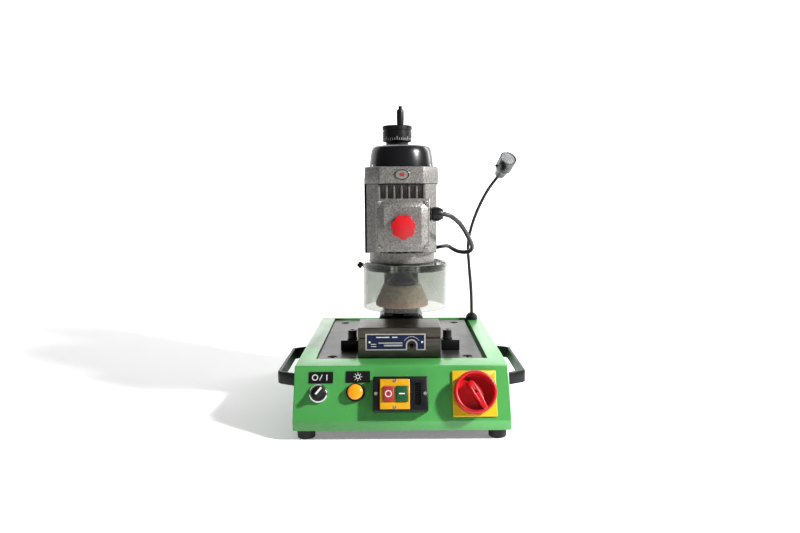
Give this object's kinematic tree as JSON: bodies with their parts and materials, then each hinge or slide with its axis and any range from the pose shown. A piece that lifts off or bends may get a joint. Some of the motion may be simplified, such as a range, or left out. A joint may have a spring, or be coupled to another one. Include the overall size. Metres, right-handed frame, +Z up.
{
  "type": "faceting machine",
  "caption": "Bench facing machine: cup wheel motor head on a hand-fed vertical slide over a magnetic chuck, on a sheet-steel console with a gooseneck lamp.",
  "frame": {"origin": "middle of the footprint, on the floor under the feet", "axes": "+X to the machine's right as seen from the control panel, +Y to the back, +Z up"},
  "size_m": [0.3977, 0.4232, 0.49],
  "materials": {
    "green_coat": "glossy powder coat, bright green",
    "ground_steel": "ground steel",
    "dark_steel": "dark machined steel",
    "black_coat": "black coat",
    "rubber": "matt black rubber",
    "black_plastic": "black moulded plastic",
    "gloss_black": "glossy black",
    "yellow_plastic": "yellow moulded plastic",
    "red_plastic": "red moulded plastic",
    "green_plastic": "green moulded plastic",
    "amber_lens": "amber lens",
    "chrome": "bright chrome ring",
    "silver_paint": "silver hammered paint on cast aluminium",
    "wheel_abrasive": "cream bonded abrasive",
    "clear_plastic": "clear plastic",
    "bronze": "bronze",
    "magnet": "magnet and iron pack",
    "lamp_lens": "frosted lens"
  },
  "bodies": {
    "base": {"housing": "green_coat", "bottom_cover": "ground_steel", "base_plate": "ground_steel", "foot_fl": "rubber", "foot_fr": "rubber", "foot_rl": "rubber", "foot_rr": "rubber", "handle_left": "black_coat", "handle_right": "black_coat", "column_base": "black_coat", "column": "black_coat", "top_bearing": "black_coat", "slide_rail": "ground_steel", "chuck_base": "dark_steel", "chuck_top": "dark_steel", "clamp_left": "black_coat", "clamp_right": "black_coat", "clamp_screw_left": "black_coat", "clamp_screw_right": "black_coat", "switch_box": "black_plastic", "switch_frame": "yellow_plastic", "isolator_plate": "yellow_plastic", "selector_bezel": "chrome", "button_bezel": "black_plastic", "power_inlet": "black_plastic", "lamp_base": "black_coat", "lead_gland": "black_plastic"},
    "carriage": {"carriage_plate": "black_coat", "feed_nut": "bronze", "motor_body": "silver_paint", "end_shield": "silver_paint", "fan_cowl": "gloss_black", "motor_flange": "silver_paint", "terminal_box": "silver_paint", "terminal_cover": "silver_paint", "cable_gland": "black_plastic", "guard_collar": "clear_plastic", "motor_lead": "black_plastic"},
    "spindle": {"rotor_shaft": "ground_steel", "cooling_fan": "black_plastic", "grinding_wheel": "wheel_abrasive", "wheel_hub": "dark_steel", "wheel_nut": "dark_steel"},
    "guard": {"guard_cylinder": "clear_plastic"},
    "guard_thumbscrew": {"guard_screw": "black_plastic"},
    "handwheel": {"feed_dial": "black_coat", "leadscrew": "ground_steel"},
    "crank": {"crank_grip": "black_coat"},
    "star": {"star_knob": "red_plastic"},
    "cam": {"chuck_cam": "black_coat"},
    "magnets": {"magnet_pack": "magnet"},
    "selector": {"selector_knob": "black_plastic"},
    "amber": {"amber_button": "amber_lens"},
    "stop_key": {"red_button": "red_plastic"},
    "start_key": {"green_button": "green_plastic"},
    "isolator": {"isolator_knob": "red_plastic"},
    "lamp_neck": {"gooseneck": "black_coat"},
    "lamp": {"lamp_head": "black_coat", "lamp_lens": "lamp_lens"},
    "lamp_key": {"lamp_switch": "black_plastic"}
  },
  "joints": [
    {"name": "z_feed", "type": "slide", "parent": "base", "child": "carriage", "axis": [0, 0, 1], "range_m": [-0.02, 0.044], "deforming": ["motor_lead"]},
    {"name": "feed_turn", "type": "hinge", "parent": "base", "child": "handwheel", "pos_m": [-0.019, 0.0355, 0.445], "axis": [0, 0, 1], "range_deg": [-3961, 1801]},
    {"name": "crank_turn", "type": "hinge", "parent": "handwheel", "child": "crank", "pos_m": [-0.0137, 0.0215, 0.47], "axis": [0, 0, 1], "continuous": true},
    {"name": "spindle_turn", "type": "hinge", "parent": "carriage", "child": "spindle", "pos_m": [-0.0125, -0.0495, 0.3], "axis": [0, 0, 1], "continuous": true},
    {"name": "guard_lift", "type": "slide", "parent": "carriage", "child": "guard", "axis": [0, 0, 1], "range_m": [0, 0.007]},
    {"name": "guard_screw_turn", "type": "hinge", "parent": "guard", "child": "guard_thumbscrew", "pos_m": [-0.082, -0.0495, 0.235], "axis": [-1, 0, 0], "range_deg": [0, 360]},
    {"name": "star_turn", "type": "hinge", "parent": "carriage", "child": "star", "pos_m": [-0.0103, -0.1535, 0.301], "axis": [0, -1, 0], "range_deg": [0, 360]},
    {"name": "cam_turn", "type": "hinge", "parent": "base", "child": "cam", "pos_m": [0.0015, -0.1015, 0.121], "axis": [0, -1, 0], "range_deg": [-180.2, 0.2]},
    {"name": "magnet_shift", "type": "slide", "parent": "base", "child": "magnets", "axis": [1, 0, 0], "range_m": [0, 0.006]},
    {"name": "selector_turn", "type": "hinge", "parent": "base", "child": "selector", "pos_m": [-0.1329, -0.17885, 0.06452], "axis": [0, -0.9031, 0.4294], "range_deg": [0, 80]},
    {"name": "amber_press", "type": "slide", "parent": "base", "child": "amber", "axis": [0, 0.9031, -0.4294], "range_m": [0, 0.004], "stiffness_N_per_m": 400},
    {"name": "stop_press", "type": "slide", "parent": "base", "child": "stop_key", "axis": [0, 0.9031, -0.4294], "range_m": [0, 0.0035], "stiffness_N_per_m": 400},
    {"name": "start_press", "type": "slide", "parent": "base", "child": "start_key", "axis": [0, 0.9031, -0.4294], "range_m": [0, 0.0035], "stiffness_N_per_m": 400},
    {"name": "isolator_turn", "type": "hinge", "parent": "base", "child": "isolator", "pos_m": [0.0898, -0.17919, 0.06379], "axis": [0, -0.9031, 0.4294], "range_deg": [0, 90]},
    {"name": "lamp_swivel", "type": "hinge", "parent": "base", "child": "lamp_neck", "pos_m": [0.123, 0.1835, 0.114], "axis": [0, 0, 1], "range_deg": [-90, 90]},
    {"name": "lamp_tilt", "type": "hinge", "parent": "lamp_neck", "child": "lamp", "pos_m": [0.1735, 0.167, 0.382], "axis": [0.9492, 0.3147, 0], "range_deg": [-15, 15]},
    {"name": "lamp_switch_press", "type": "slide", "parent": "lamp", "child": "lamp_key", "axis": [0.9492, 0.3147, 0], "range_m": [0, 0.0015], "stiffness_N_per_m": 300}
  ],
  "couplings": [
    {"joint": "feed_turn", "follows": "z_feed", "rad_per_m": -1570.8},
    {"joint": "cam_turn", "follows": "magnet_shift", "rad_per_m": -523.6}
  ]
}
